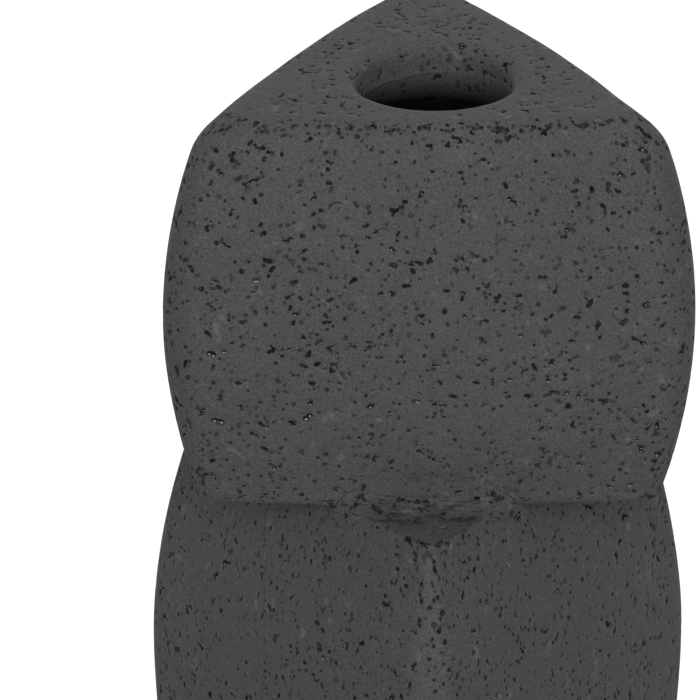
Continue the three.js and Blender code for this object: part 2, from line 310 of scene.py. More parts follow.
def bowls(surface, pits):
    """The points of the pits over their chart: the middles, then rings at the brims and near the bottoms."""
    centre = pits[:, :2]
    at = surface(centre)
    along_x = (surface(centre + [NUDGE, 0]) - at) / NUDGE
    along_y = (surface(centre + [0, NUDGE]) - at) / NUDGE
    stretch = np.linalg.norm(along_x, axis=1)
    lean = (along_x * along_y).sum(1) / stretch
    rise = np.sqrt(np.maximum((along_y**2).sum(1) - lean**2, 1e-6))
    number = np.arange(len(pits))
    points = [centre]
    own = [np.stack([pits[:, DEPTH], pits[:, DARK] * CENTRE_SHADE, 0 * number, pits[:, WARM], number], -1)]
    radius = pits[:, RADIUS]
    sides = np.where(radius < SIX_SIDED, LEAST_SIDES, np.where(radius < EIGHT_SIDED, 6, 8))
    for n in sorted(set(sides)):
        who = np.flatnonzero(sides == n)
        mine = pits[who][:, :, None]
        angle = np.arange(n) * 2 * math.pi / n + rng.uniform(0, 6, (len(who), 1))
        ragged = 1 + rng.normal(0, RAGGED, (len(who), n))
        # The bottom ring takes the pit's painted shade and its rust in full, and the brim takes none.
        for reach, sink, darkening in ((BRIM, 0, 0), (BOTTOM, BOTTOM_DEPTH, 1)):
            if n == LEAST_SIDES and sink:
                continue
            ring = mine[:, RADIUS] * reach * ragged
            dy = ring * np.sin(angle) / rise[who][:, None]
            dx = (ring * np.cos(angle) - lean[who][:, None] * dy) / stretch[who][:, None]
            # A painted highlight sits on the lower side of a pit's bottom ring, where light from above would
            # catch.
            low_side = np.clip(-np.sin(angle) * 1.6 - 0.5, 0, 1)
            points.append(np.stack([mine[:, 0] + dx, mine[:, 1] + dy], -1).reshape(-1, 2))
            own.append(np.stack([
                mine[:, DEPTH] * sink + 0 * dx, mine[:, DARK] * darkening + 0 * dx,
                mine[:, GLINT] * low_side * (sink > 0), mine[:, WARM] * darkening + 0 * dx, who[:, None] + 0 * dx,
            ], -1).reshape(-1, 5))
    return np.concatenate(points), np.concatenate(own)


def let_down(flat, own, pits, centres):
    """Lets points down into the pits they lie in, and says which of them crowd a bowl they aren't part of."""
    tree = kdtree.KDTree(len(flat))
    for i, p in enumerate(flat.tolist()):
        tree.insert(p, i)
    tree.balance()
    crowding = np.zeros(len(flat), bool)
    marks = own.copy()
    for number, (centre, pit) in enumerate(zip(centres.tolist(), pits.tolist())):
        near = [n for n in tree.find_range(centre, pit[RADIUS] * BRIM) if own[n[1], OWNER] != number]
        if not near:
            continue
        ids = np.array([n[1] for n in near])
        t = np.array([n[2] for n in near]) / pit[RADIUS]
        depth = pit[DEPTH] * (1 - smooth(EASE, BRIM, t))
        deeper = depth > marks[ids, SUNK] + 1e-7
        at = ids[deeper]
        marks[at, SUNK] = depth[deeper]
        # The pit's painted shade spreads onto the other points in it.
        darkening = SPILT * pit[DARK] * (1 - smooth(SHADE_EASE, BRIM, t[deeper]))
        marks[at, SHADE] = np.maximum(marks[at, SHADE], darkening)
        marks[at, RUST] = np.maximum(marks[at, RUST], pit[WARM])
        crowding[ids[t < CROWDED]] = True
    return marks, crowding


def triangulate(chart, edges):
    """Triangles over a chart's points, as rows of the points' numbers."""
    out = delaunay_2d_cdt([Vector(c) for c in (chart / MM).tolist()], list(edges), [], 0, 1e-5)
    source = np.array([s[0] for s in out[3]])
    return source[np.array(out[2])]


def two_loops(n, m):
    """The edges of two closed rings, of n points and then of m."""
    return [(i, (i + 1) % n) for i in range(n)] + [(n + i, n + (i + 1) % m) for i in range(m)]


class Clay:
    """A piece under construction: vertices with their marks, and faces."""

    def __init__(self):
        self.points, self.marks, self.faces, self.count = [], [], [], 0

    def add(self, points, marks=None):
        points = np.asarray(points, float).reshape(-1, 3)
        self.points.append(points)
        self.marks.append(np.zeros((len(points), 3)) if marks is None else marks)
        self.count += len(points)
        return np.arange(self.count - len(points), self.count)

    def band(self, low, high):
        """Joins two closed rings of one count. On an outside it faces out when low is below high."""
        a, b = np.asarray(low), np.asarray(high)
        a2, b2 = np.roll(a, -1), np.roll(b, -1)
        self.faces.append(np.concatenate([np.stack([a, a2, b2], -1), np.stack([a, b2, b], -1)]))

    def rings(self, first, rings, last=None):
        """Runs bands from ring `first` through new rings, and on to ring `last`."""
        for ring in rings:
            made = self.add(ring)
            self.band(first, made)
            first = made
        if last is not None:
            self.band(first, last)
        return first

    def skin(self, surface, fixed, fixed_ids, loose, pits, keep=None, edges=()):
        """Triangulates a chart between its fixed border and loose inner points, with the pits let into it."""
        plain = np.zeros((len(loose), 5))
        plain[:, OWNER] = -1
        points, own = bowls(surface, pits)
        inner, own = np.concatenate([loose, points]), np.concatenate([plain, own])
        inside = ((inner > fixed.min(0) + SHY) & (inner < fixed.max(0) - SHY)).all(1)
        if keep is not None:
            inside &= keep(inner)
        inner, own = inner[inside], own[inside]
        flat = surface(inner)
        own, crowding = let_down(flat, own, pits, surface(pits[:, :2]))
        inner, own, flat = inner[~crowding], own[~crowding], flat[~crowding]
        lifted = flat + surface_normal(surface, inner) * (hand(flat) - own[:, SUNK])[:, None]
        ids = np.concatenate([fixed_ids, self.add(lifted, own[:, SHADE:OWNER])])
        chart = np.concatenate([fixed, inner])
        numbers = triangulate(chart, edges)
        triangles = ids[numbers]
        good = (triangles != np.roll(triangles, 1, axis=1)).all(1)
        if keep is not None:
            good &= keep(chart[numbers].mean(1))
        self.faces.append(triangles[good])

    def object(self, name, material, replaced):
        """The finished mesh, shaded smooth, riding the vase."""
        points = np.concatenate(self.points)
        points[:, 2] = np.maximum(points[:, 2], 0)
        faces = np.concatenate(self.faces)
        mesh = bpy.data.meshes.new(name)
        mesh.vertices.add(len(points))
        mesh.vertices.foreach_set("co", points.astype(np.float32).ravel())
        mesh.loops.add(len(faces) * 3)
        mesh.loops.foreach_set("vertex_index", faces.astype(np.int32).ravel())
        mesh.polygons.add(len(faces))
        mesh.polygons.foreach_set("loop_start", np.arange(0, len(faces) * 3, 3, dtype=np.int32))
        mesh.polygons.foreach_set("use_smooth", np.ones(len(faces), bool))
        marks = np.concatenate(self.marks)
        # The attributes: painted shade in the pits, a painted highlight in some of them, and rust.
        for column, label in enumerate(("pit", "glint", "warm")):
            layer = mesh.attributes.new(label, "FLOAT", "POINT")
            layer.data.foreach_set("value", marks[:, column].astype(np.float32))
        mesh.update(calc_edges=True)
        mesh.validate()
        mesh.set_sharp_from_angle(angle=SHARP)
        mesh.materials.append(material)
        piece = bpy.data.objects.new(name, mesh)
        bpy.context.collection.objects.link(piece)
        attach(piece, "root")
        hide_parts(replaced)
        return piece


# ---------------------------------------------------------------- the blocks
def stacked(floor, height, bulge, width, turn, centre, seam):
    """A block that stands level with the underside of the CAD's own slab for it."""
    return Block(width, height, bulge, turn, sizes(floor)[0][2], centre, seam)


WIDTHS = (140 * MM, 141 * MM, 142 * MM)
UPPER_HEIGHT, UPPER_BULGE = 108.5 * MM, 8.7 * MM
LOWER_HEIGHT, LOWER_BULGE = 136 * MM, 11 * MM
MIDDLE_TURN, LOWER_TURN = math.radians(180.8), math.radians(-0.6)
UPPER_AT, MIDDLE_AT, LOWER_AT = (1.11 * MM, 0.01 * MM), (-0.19 * MM, -0.29 * MM), (0.21 * MM, -0.29 * MM)
BACK, BACK_OF_TURNED = 1.92, 0.42       # where a chart's seam is out of sight, as the outline counts
UPPER = stacked("upper_floor", UPPER_HEIGHT, UPPER_BULGE, WIDTHS[0], 0.0, UPPER_AT, BACK)
UPPER.soften_top()
MIDDLE = stacked(
    "middle_floor", LOWER_HEIGHT, LOWER_BULGE, WIDTHS[1], MIDDLE_TURN, MIDDLE_AT, BACK_OF_TURNED)
LOWER = stacked("base_slab", LOWER_HEIGHT, LOWER_BULGE, WIDTHS[2], LOWER_TURN, LOWER_AT, BACK)

FACE_STEP, CORNER_STEP = 3.6 * MM, 1.3 * MM     # between loose points, round a wall
WALL_STEP, ROLL_STEP = 3.4 * MM, 0.8 * MM       # and up it
TOP_STEP = 3.2 * MM
BORDER_STEP, TUBE_STEP = 1.2 * MM, 1.0 * MM     # along a chart's seam
TUBE_COLUMN = 1.6 * MM
JITTER = 0.3                  # how far a loose point strays, as a share of what its row allows
LENGTH_STEPS = 200            # for measuring a side and its corner
BORDER = 1.0 * MM             # what a wall's loose points keep clear at the seam


def spread(start, stop, step):
    """Numbers from start to stop, ends left out, about `step` apart."""
    count = max(1, round((stop - start) / step))
    return (start + (stop - start) * np.arange(1, count) / count) if count > 1 else np.array([])


def block_grid(block, width, height, seed):
    """Loose points over a wall's chart: close together round the corners and rolls, wide on the faces."""
    draw = np.random.default_rng(seed)
    third = width / 3
    shift = block.seam * third
    columns = []
    for side in range(4):
        start = side * third - shift % third
        columns.append(spread(start, start + SIDE_SHARE * third, FACE_STEP))
        columns.append(spread(start + SIDE_SHARE * third - BORDER, start + third + BORDER, CORNER_STEP))
    x = np.unique(np.concatenate(columns).round(6))
    x = x[(x > BORDER) & (x < width - BORDER)]
    roll = ROLL * QUARTER
    y = np.concatenate([
        spread(0, roll, ROLL_STEP), [roll], spread(roll, roll + block.straight, WALL_STEP),
        [roll + block.straight], spread(roll + block.straight, height, ROLL_STEP),
    ])
    gx, gy = np.meshgrid(x, y)
    grid = np.stack([gx.ravel(), gy.ravel()], -1)
    grid += draw.uniform(-JITTER, JITTER, grid.shape) * [0.9 * MM, 0.6 * MM]
    grid[:, 1] = np.clip(grid[:, 1], 0.3 * MM, height - 0.3 * MM)
    return grid


def border(clay, surface, width, height, count, step, swelling=True):
    """The fixed points of a chart that closes on itself: its two border rings and the seam between them."""
    columns = np.linspace(0, width, count + 1)
    rows = spread(0, height, step)
    low_at = np.stack([columns, np.zeros(count + 1)], -1)
    high_at = np.stack([columns, np.full(count + 1, height)], -1)
    seam_at = np.stack([np.zeros(len(rows)), rows], -1)
    low = clay.add(lift(surface, low_at[:-1]) if swelling else surface(low_at[:-1]))
    high = clay.add(lift(surface, high_at[:-1]))
    seam = clay.add(lift(surface, seam_at))
    fixed = np.concatenate([low_at, high_at, seam_at, seam_at + [width, 0]])
    return low, high, fixed, np.concatenate([low, low[:1], high, high[:1], seam, seam])


def block_skin(clay, block, per_pit, seed, beyond, extra=None):
    """The outside of a block, from its bottom edge to `beyond` metres in from the top edge's roll.

    Gives its two border rings."""
    face, corner = block.section(block.height / 2)
    x, y = outline(np.arange(0, 3, 1 / LENGTH_STEPS), face, corner)
    width = np.hypot(np.diff(x, append=x[0]), np.diff(y, append=y[0])).sum()
    height = block.length + beyond

    def surface(at):
        return block.wall(at[:, 0] * 3 / width, at[:, 1])

    low, high, fixed, ids = border(clay, surface, width, height, AROUND, BORDER_STEP, swelling=False)
    pits = scatter((width, height), per_pit, seed)
    if extra is not None:
        pits = np.concatenate([pits, extra(width)])
    clay.skin(surface, fixed, ids, block_grid(block, width, height, seed + 1), pits)
    return low, high


def lift(surface, at):
    """Points of a chart with the hand's swells and no pits."""
    p = surface(at)
    return p + surface_normal(surface, at) * hand(p)[:, None]


RING_FACE = 20 * MM           # the outline whose first point says where a circle's points start


def round_ring(block, radius, z, centre=(0, 0)):
    """A circle whose points run with a block's outline rings."""
    x, y = block_outline(block, RING_FACE)
    angle = math.atan2(y[0], x[0]) + np.arange(AROUND) * 2 * math.pi / AROUND
    return block.place(centre[0] + radius * np.cos(angle), centre[1] + radius * np.sin(angle), z)


def block_outline(block, face, corner=EDGE_CORNER):
    u = np.arange(AROUND) * 3 / AROUND + block.seam
    return outline(u, face, corner)


def inner_ring(block, face, z):
    x, y = block_outline(block, face, INNER_CORNER)
    return block.place(x, y, z)


def top_skin(clay, block, high, beyond, hole, hole_ids, hole_points, per_pit, seed):
    """The flat top between a block's outside and the hole in it."""
    z = block.height
    outer = np.concatenate(clay.points)[high]
    ox, oy, _ = block.plan(outer)
    hx, hy, _ = block.plan(hole_points)
    fixed = np.concatenate([np.stack([ox, oy], -1), np.stack([hx, hy], -1)])
    face, corner = block.top_edge(QUARTER)
    face = face - beyond / ROOT3
    middle = np.array([hx.mean(), hy.mean()])

    def surface(at):
        return block.place(at[:, 0], at[:, 1], z)

    def keep(at, room=0.0):
        clear = outline_distance(at[:, 0], at[:, 1], face, corner) < -room
        return clear & (np.hypot(at[:, 0] - middle[0], at[:, 1] - middle[1]) > hole + room)

    reach = np.abs(fixed).max() * 1.02
    draw = np.random.default_rng(seed + 1)
    side = np.arange(-reach, reach, TOP_STEP)
    gx, gy = np.meshgrid(side, side)
    grid = np.stack([gx.ravel(), gy.ravel()], -1)
    grid += draw.uniform(-JITTER, JITTER, grid.shape) * TOP_STEP
    grid = grid[keep(grid, 1.5 * MM)]
    pits = scatter((2 * reach, 2 * reach), per_pit, seed)
    pits[:, :2] -= reach
    pits = pits[keep(pits[:, :2], 1.7 * MM)]
    clay.skin(surface, fixed, np.concatenate([high, hole_ids]), grid, pits, keep, two_loops(len(ox), len(hx)))


def cavity(clay, block, start, low):
    """The inside of a block, from the ring `start` under its top down to the rim that `low` closes."""
    top, bottom = block.height - TOP, FLOOR + GAP
    rings = []
    for z in np.linspace(top, bottom, CAVITY_RINGS):
        face, _ = block.section(z)
        rings.append(inner_ring(block, face - WALL, z))
    seat = block.section(0)[0] - WALL + REBATE
    rings += [inner_ring(block, seat, bottom), inner_ring(block, seat, 0)]
    clay.rings(start, rings, low)


def crease(angle):
    """How deep the mouth's bore meets the collar, round the mouth: low on the left, high at the back."""
    slope = 8.4 + 2.1 * np.cos(angle - 3.25) + 0.5 * np.sin(2 * angle + 0.6)
    return (slope + 0.18 * np.sin(7 * angle) + 0.12 * np.sin(16 * angle + 1)) * MM


def mouth_centre():
    low, high = sizes("throat_collar")
    x, y, _ = UPPER.plan((low + high) / 2)
    return float(x), float(y)


MOUTH_AT = mouth_centre()
COLLAR_LOW = sizes("throat_collar")[0][2] - UPPER.base


def mouth_ring(turn, radius, z):
    return UPPER.place(MOUTH_AT[0] + radius * np.cos(turn), MOUTH_AT[1] + radius * np.sin(turn), z)


def mouth_chart():
    """The lip and the bore under it. x runs round the mouth, y in over the lip and down to the crease."""
    width = 2 * math.pi * MOUTH
    bend = LIP * QUARTER
    height = bend + 5 * MM

    def surface(at):
        turn = at[:, 0] / MOUTH
        over = np.clip(at[:, 1] / LIP, 0, QUARTER)
        radius = MOUTH + LIP * (1 - np.sin(over))
        share = np.clip((at[:, 1] - bend) / (height - bend), 0, None)
        z = UPPER.height - LIP * (1 - np.cos(over)) - share * (crease(turn) - LIP)
        return mouth_ring(turn, radius, z)

    return surface, width, height


def tube_skin(clay, surface, width, height, count, per_pit, seed):
    """A closed band of clay with pits, such as a bore. Gives its two border rings."""
    low, high, fixed, ids = border(clay, surface, width, height, count, TUBE_STEP)
    draw = np.random.default_rng(seed + 1)
    gx, gy = np.meshgrid(spread(0, width, TUBE_COLUMN), spread(0, height, TUBE_STEP))
    grid = np.stack([gx.ravel(), gy.ravel()], -1)
    grid += draw.uniform(-JITTER, JITTER, grid.shape) * 0.8 * MM
    clay.skin(surface, fixed, ids, grid, scatter((width, height), per_pit, seed, keep_off=0.3 * MM))
    return low, high


BEYOND = 4 * MM               # how far in from the top edge's roll a wall's chart runs
BEYOND_UPPER = 0.6 * MM       # less over the uppermost block, where the mouth's lip is near
CREST_PITS = 110
CREST_AT = 0.67               # of the way round the top edge's roll


def crest_row(width):
    """The close row of pits along the top edge of the upper block's front face."""
    draw = np.random.default_rng(31)
    third = width / 3
    start = (-UPPER.seam * third) % width
    rows = []
    for _ in range(CREST_PITS):
        x = (start + draw.uniform(0.04, SIDE_SHARE - 0.02) * third) % width
        y = UPPER.length - UPPER.top_roll * QUARTER * (1 - CREST_AT) + draw.normal(0, 0.8) * MM
        radius = draw.uniform(0.32, 0.7) * MM
        rows.append((x, y, radius, radius * draw.uniform(0.35, 0.8), draw.uniform(0.4, 0.95), 0.0, 0.0))
    return np.array(rows)


def upper_block(material):
    clay = Clay()
    low, high = block_skin(clay, UPPER, PER_PIT, 101, BEYOND_UPPER, crest_row)
    surface, width, height = mouth_chart()
    lip, bore = tube_skin(clay, surface, width, height, ROUND, PER_LIP_PIT, 111)
    points = np.concatenate(clay.points)
    top_skin(clay, UPPER, high, BEYOND_UPPER, MOUTH + LIP, lip, points[lip], PER_PIT, 121)
    turn = np.arange(ROUND) * 2 * math.pi / ROUND
    seat = MOUTH + COLLAR_WALL + GAP
    z = UPPER.height - TOP
    last = clay.rings(bore, [mouth_ring(turn, seat, z + COLLAR_SEAT), mouth_ring(turn, seat, z)])
    start = even_ring(clay, UPPER, last, z)
    cavity(clay, UPPER, start, low)
    return clay.object("upper_block_skin", material, "upper_block")


RING_STEP = 0.4 * MM          # from a mouth's ring to the one that evens it out
RING_MARGIN = 0.05 * MM


def even_ring(clay, block, ring, z):
    """Joins a mouth's ring of ROUND points to a new ring of AROUND points just outside it."""
    x, y, _ = block.plan(np.concatenate(clay.points)[ring])
    middle = np.array([x.mean(), y.mean()])
    radius = np.hypot(x - middle[0], y - middle[1]).mean()
    outer = clay.add(round_ring(block, radius + RING_STEP, z, middle))
    ox, oy, _ = block.plan(np.concatenate(clay.points)[outer])
    flat = np.concatenate([np.stack([x, y], -1), np.stack([ox, oy], -1)])
    triangles = triangulate(flat, two_loops(len(ring), len(outer)))
    centre = flat[triangles].mean(1) - middle
    # The margin also lets a few slivers through inside the ring, in the collar's seat, where they don't show.
    between = np.hypot(centre[:, 0], centre[:, 1]) > radius - RING_MARGIN
    clay.faces.append(np.concatenate([ring, outer])[triangles][between][:, ::-1])
    return outer


def carried_block(block, spigot, name, seed, material):
    """A block that carries another: a passage through its top in place of the mouth."""
    clay = Clay()
    low, high = block_skin(clay, block, PER_LOWER_PIT, seed, BEYOND)
    corner_low, corner_high = sizes(spigot)
    passage = (corner_high[0] - corner_low[0]) / 2 - SPIGOT_WALL
    hole = clay.add(round_ring(block, passage, block.height))
    points = np.concatenate(clay.points)[hole]
    top_skin(clay, block, high, BEYOND, passage, hole, points, PER_PIT, seed + 20)
    under = clay.rings(hole, [round_ring(block, passage, block.height - TOP)])
    cavity(clay, block, under, low)
    return clay.object(name + "_skin", material, name)


THROAT_DEPTH = 16 * MM
OPEN_JOINT, OPEN_STEP = 0.9 * MM, 0.5 * MM      # how far the seam gapes, and how far the collar stands back
OPEN_TOWARDS = 3.0            # radians round the mouth


def throat_collar(material):
    """The collar under the mouth. Its top follows the crease, and its bore shows through the mouth."""
    clay = Clay()
    turn = np.arange(ROUND) * 2 * math.pi / ROUND
    around = np.append(turn, 2 * math.pi)

    def opening(angle):
        return (0.5 + 0.5 * np.cos(angle - OPEN_TOWARDS)) ** 3

    top = UPPER.height - crease(turn) - 0.01 * MM - OPEN_JOINT * opening(turn)

    def surface(at):
        angle = at[:, 0] / MOUTH
        high = np.interp(angle % (2 * math.pi), around, np.append(top, top[0]))
        z = high + (COLLAR_LOW - high) * at[:, 1] / THROAT_DEPTH
        return mouth_ring(angle, MOUTH + OPEN_STEP * opening(angle), z)

    width = 2 * math.pi * MOUTH
    bore_top, bore_low = tube_skin(clay, surface, width, THROAT_DEPTH, ROUND, PER_THROAT_PIT, 211)
    outside = MOUTH + COLLAR_WALL
    seat = UPPER.height - TOP + COLLAR_SEAT - GAP
    rings = [
        mouth_ring(turn, outside, COLLAR_LOW), mouth_ring(turn, outside, seat),
        mouth_ring(turn, MOUTH + 1 * MM, top + 0.1 * MM),
    ]
    clay.rings(bore_low, rings, bore_top)
    return clay.object("throat_collar_skin", material, "throat_collar")


# ---------------------------------------------------------------- the smeared waists
COIL_AROUND = 160
COIL_WIDTH = 2 * math.pi * 44 * MM      # of the coil's chart, round the waist
COIL_HEIGHT = 17 * MM         # and across the clay
COIL_SEAM = math.pi * 0.52    # where the chart starts, at the back
COIL_BACK = 6 * MM            # how far behind the corner its hidden side is
RAY_START = 7 * MM            # how far behind the corner the rays that find its skin start
RAY_LENGTH = 30 * MM
BLEND, BLEND_LEAN, BLEND_WAVE = 8.5 * MM, 2.5 * MM, 0.7 * MM    # how wide the corner is filled
LEDGE_TURN = 12 * MM          # a block that stands out by this much makes the corner lean fully
LEDGE_NARROW, LEDGE_WIDE = 5 * MM, 22 * MM
SMEAR_SHARE = 0.6             # how far the clay is smeared, as a share of the blend
SMEAR_LEDGE = 15 * MM         # and how much further over a wide ledge
TUCK, PROUD = 0.5 * MM, 0.12 * MM       # how deep its edges are under the walls, and the rest above them


class Waist:
    """The clay smeared into the corner round a waist, where the two blocks' forms run into each other."""

    def __init__(self, above, below, seed):
        self.above, self.below, self.seed = above, below, seed
        self.joint = above.base - GAP / 2
        self.centre = (np.array(above.centre) + np.array(below.centre)) / 2

    @staticmethod
    def reach(block, angle):
        """How far from the middle a block's edge is."""
        turn = (angle - block.turn + QUARTER + THIRD / 2) % THIRD - THIRD / 2
        return (block.edge_face(0) + CROWN * 0.7) / np.cos(turn)

    def corner(self, angle):
        """The corner's distance from the middle, and how far each block stands out beyond it."""
        up, down = self.reach(self.above, angle), self.reach(self.below, angle)
        least = np.minimum(up, down)
        return least, up - least, down - least

    def field(self, p, blend):
        """Signed distance from the two blocks together, with the corner between them filled."""
        a, b = self.above.distance(p), self.below.distance(p)
        overlap = np.clip(blend - np.abs(a - b), 0, None) / blend
        return np.minimum(a, b) - overlap * overlap * blend / 4

    def place(self, angle, radius, z):
        x = self.centre[0] + radius * np.cos(angle)
        return np.stack([x, self.centre[1] + radius * np.sin(angle), z + self.joint], -1)

    def surface(self, at):
        """The clay's skin: along rays from behind the corner, to where they leave the filled form."""
        angle = at[:, 0] / COIL_WIDTH * 2 * math.pi + COIL_SEAM
        radius, ledge_up, ledge_down = self.corner(angle)
        side = np.clip((ledge_down - ledge_up) / LEDGE_TURN, -1, 1)
        side = side * (1.5 - 0.5 * side * side)
        blend = BLEND + BLEND_LEAN * side + BLEND_WAVE * np.sin(5 * angle + self.seed)
        share = 1 - 2 * at[:, 1] / COIL_HEIGHT
        start_r = -RAY_START * np.cos(side * math.pi / 4)
        start_z = -RAY_START * np.sin(side * math.pi / 4)

        def towards(ledge, sign):
            """The ray's angle to where the clay ends: far out on a ledge, or a little way along a wall."""
            smeared = SMEAR_SHARE * blend + SMEAR_LEDGE * smooth(LEDGE_NARROW, LEDGE_WIDE, ledge)
            z = sign * np.maximum(0, smeared - ledge)
            return np.arctan2(z - start_z, np.minimum(smeared, ledge) - start_r)

        to_up, to_down = towards(ledge_up, 1), towards(ledge_down, -1)
        ray = to_up + (to_down - to_up) * (1 + share) / 2
        sunk = TUCK * smooth(0.72, 1.0, np.abs(share)) - PROUD

        def at_distance(t):
            return self.place(angle, radius + start_r + t * np.cos(ray), start_z + t * np.sin(ray))

        def outside(t):
            return self.field(at_distance(t), blend) + sunk > 0

        near, far = np.zeros(len(angle)), np.full(len(angle), np.nan)
        for t in np.linspace(0, RAY_LENGTH, 31)[1:]:
            far[np.isnan(far) & outside(np.full(len(angle), t))] = t
            near[np.isnan(far)] = t
        far = np.where(np.isnan(far), near, far)
        for _ in range(26):
            between = (near + far) / 2
            out = outside(between)
            near, far = np.where(out, near, between), np.where(out, between, far)
        return at_distance((near + far) / 2)

    def build(self, name, material):
        clay = Clay()
        low, high = tube_skin(
            clay, self.surface, COIL_WIDTH, COIL_HEIGHT, COIL_AROUND, PER_COIL_PIT, self.seed)
        angle = np.arange(COIL_AROUND) * 2 * math.pi / COIL_AROUND + COIL_SEAM
        back = self.place(angle, self.corner(angle)[0] - COIL_BACK, 0 * angle)
        clay.rings(high, [back], low)
        return clay.object(name + "_skin", material, name)


# ---------------------------------------------------------------- materials
class Nodes:
    """A small help for wiring a material."""

    def __init__(self, name):
        self.material = bpy.data.materials.new(name)
        self.material.use_nodes = True
        self.tree = self.material.node_tree
        self.tree.nodes.clear()
        self.coords = self.make("ShaderNodeTexCoord").outputs["Object"]

    def make(self, kind, links=(), **settings):
        node = self.tree.nodes.new(kind)
        for key, value in settings.items():
            setattr(node, key, value)
        for socket, source in dict(links).items():
            if isinstance(source, bpy.types.NodeSocket):
                self.tree.links.new(source, node.inputs[socket])
            else:
                node.inputs[socket].default_value = source
        return node

    def mark(self, name):
        return self.make("ShaderNodeAttribute", attribute_name=name).outputs["Fac"]

    def noise(self, scale, detail=2.0, rough=0.5, vector=None):
        links = {"Scale": scale, "Detail": detail, "Roughness": rough, "Vector": vector or self.coords}
        return self.make("ShaderNodeTexNoise", links).outputs["Fac"]

    def ramp(self, value, low, high, to_low=0.0, to_high=1.0):
        links = {"Value": value, "From Min": low, "From Max": high, "To Min": to_low, "To Max": to_high}
        return self.make("ShaderNodeMapRange", links).outputs["Result"]

    def sum(self, a, b, operation="ADD"):
        return self.make("ShaderNodeMath", {0: a, 1: b}, operation=operation).outputs[0]

    def times(self, a, b):
        return self.sum(a, b, "MULTIPLY")

    def part(self, kind, socket, source, output):
        """One channel of a vector or a colour."""
        return self.make(kind, {socket: source}).outputs[output]

    def mix(self, share, a, b):
        node = self.make("ShaderNodeMix", data_type="RGBA")
        for socket, source in ((node.inputs[0], share), (node.inputs[6], a), (node.inputs[7], b)):
            if isinstance(source, bpy.types.NodeSocket):
                self.tree.links.new(source, socket)
            else:
                socket.default_value = source
        return node.outputs[2]


def grey(value):
    return (value, value, value, 1)


# The clay's other tones and its painted shades, as shares of its own
GRAIN_DARK, GRAIN_LIGHT = 0.5, 1.5
STREAKED, SCUFFED, SPECKED, DENT_SHADE, PIT_SHADE, UNLIT = 0.22, 2.4, 0.35, 0.2, 0.06, 0.04
RUST_TONE = (0.75, 0.38, 0.28)
PAINTED_GLINT_TONE = grey(0.42)
# Noise scales, per metre
GRAIN, CLOUDS, SCUFFS, SPECKS, DENTS, STREAKS, RAGS, RELIEF = 1900, 38, 210, 820, 430, 620, 1500, 560
THROAT_SHADE_HEIGHTS = (0.3660, 0.3742)  # the heights between which painted shade turns the throat black


def clay_tone(n, body, grain):
    """A fine grain over faint clouds."""
    clouds = n.noise(CLOUDS, 3.0, 0.55)
    tone = n.sum(n.ramp(grain, 0.25, 0.75, -0.46, 0.46), n.ramp(clouds, 0.3, 0.7, -0.04, 0.04))
    return n.mix(n.sum(tone, 0.5), grey(body * GRAIN_DARK), grey(body * GRAIN_LIGHT))


def streaks(n, amount):
    """Dark streaks round a waist, on what faces up."""
    flat = n.make("ShaderNodeMapping", {"Vector": n.coords, "Scale": (0.32, 0.32, 3.2)}).outputs[0]
    streak = n.noise(STREAKS, 3.0, 0.6, vector=flat)
    facing = n.make("ShaderNodeNewGeometry").outputs["Normal"]
    up = n.part("ShaderNodeSeparateXYZ", "Vector", facing, "Z")
    return n.times(n.ramp(streak, 0.47, 0.62, 0.0, amount), n.ramp(up, 0.0, 0.4))


def dents(n):
    """Small round dents of mixed sizes, too many for the mesh. Gives their form, and their painted shade."""
    cells = n.make("ShaderNodeTexVoronoi", {"Vector": n.coords, "Scale": DENTS}, feature="F1")
    size = n.part("ShaderNodeSeparateColor", "Color", cells.outputs["Color"], "Red")
    inside = n.sum(n.ramp(size, 0.2, 1.0, 0.0, 0.33), cells.outputs["Distance"], "SUBTRACT")
    form = n.ramp(inside, 0.0, 0.07)
    return form, n.times(n.times(form, n.ramp(inside, 0.1, 0.2, 1.0, 0.7)), 0.6)


def pit_shade(n, pit):
    """Painted shade in the mesh's own pits, with a ragged edge."""
    ragged = n.sum(pit, n.ramp(n.noise(RAGS, 1.0), 0.3, 0.7, -0.12, 0.12))
    edged = n.sum(n.times(pit, 1.6), ragged, "MINIMUM")
    return n.ramp(edged, 0.02, 0.86, 0.0, 0.92)


